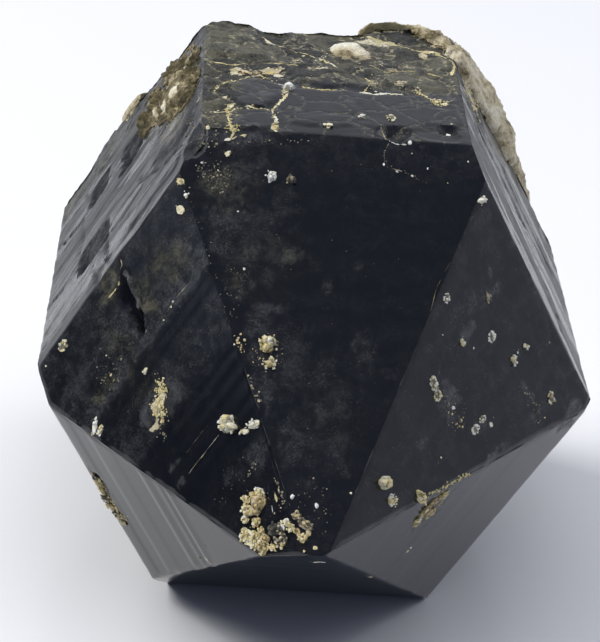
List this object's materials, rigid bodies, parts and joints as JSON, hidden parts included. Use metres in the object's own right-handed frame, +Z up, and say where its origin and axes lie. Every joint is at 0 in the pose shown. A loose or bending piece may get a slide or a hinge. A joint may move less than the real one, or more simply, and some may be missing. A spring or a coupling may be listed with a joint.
{
  "type": "smoky quartz crystal",
  "caption": "Nearly black smoky quartz crystal lying on one prism face, its pointed end forward, with feldspar crust at its broken base and small pale grains.",
  "frame": {"origin": "on the floor under the middle of the whole piece, on the prism face it rests on", "axes": "+Y along the crystal's long axis towards its broken base, the point faces -Y, +Z up"},
  "size_m": [0.06, 0.0776, 0.055],
  "materials": {
    "smoky_quartz": "glossy, nearly black quartz, not see-through",
    "feldspar": "dull, granular, cream to tan",
    "tip_crust": "granular, cream to ochre yellow",
    "pale_grain": "satin, pale cream to yellow-green"
  },
  "bodies": {
    "root": {"smoky_quartz_crystal": "smoky_quartz", "feldspar_crust_rim": "feldspar", "feldspar_crust_left_rim": "feldspar", "feldspar_crust_corner": "feldspar", "feldspar_crust_top": "feldspar", "tip_crust_upper": "tip_crust", "tip_crust_lower": "tip_crust", "tip_crust_right": "tip_crust", "edge_crust_left": "feldspar", "edge_crust_lower_left": "feldspar", "edge_crust_right": "feldspar", "grain_01": "pale_grain", "grain_02": "pale_grain", "grain_03": "pale_grain", "grain_04": "pale_grain", "grain_05": "pale_grain", "grain_06": "pale_grain", "grain_07": "pale_grain", "grain_08": "pale_grain", "grain_09": "pale_grain", "grain_10": "pale_grain", "grain_11": "pale_grain", "grain_12": "pale_grain", "grain_13": "pale_grain", "grain_14": "pale_grain", "grain_15": "pale_grain", "grain_16": "pale_grain", "grain_17": "pale_grain", "grain_18": "pale_grain", "grain_19": "pale_grain", "grain_20": "pale_grain", "grain_21": "pale_grain", "grain_22": "pale_grain", "grain_23": "pale_grain", "grain_24": "pale_grain", "grain_25": "pale_grain", "grain_26": "pale_grain", "grain_27": "pale_grain", "grain_28": "pale_grain", "grain_29": "pale_grain", "grain_30": "pale_grain", "grain_31": "pale_grain", "grain_32": "pale_grain", "grain_33": "pale_grain"}
  },
  "joints": []
}
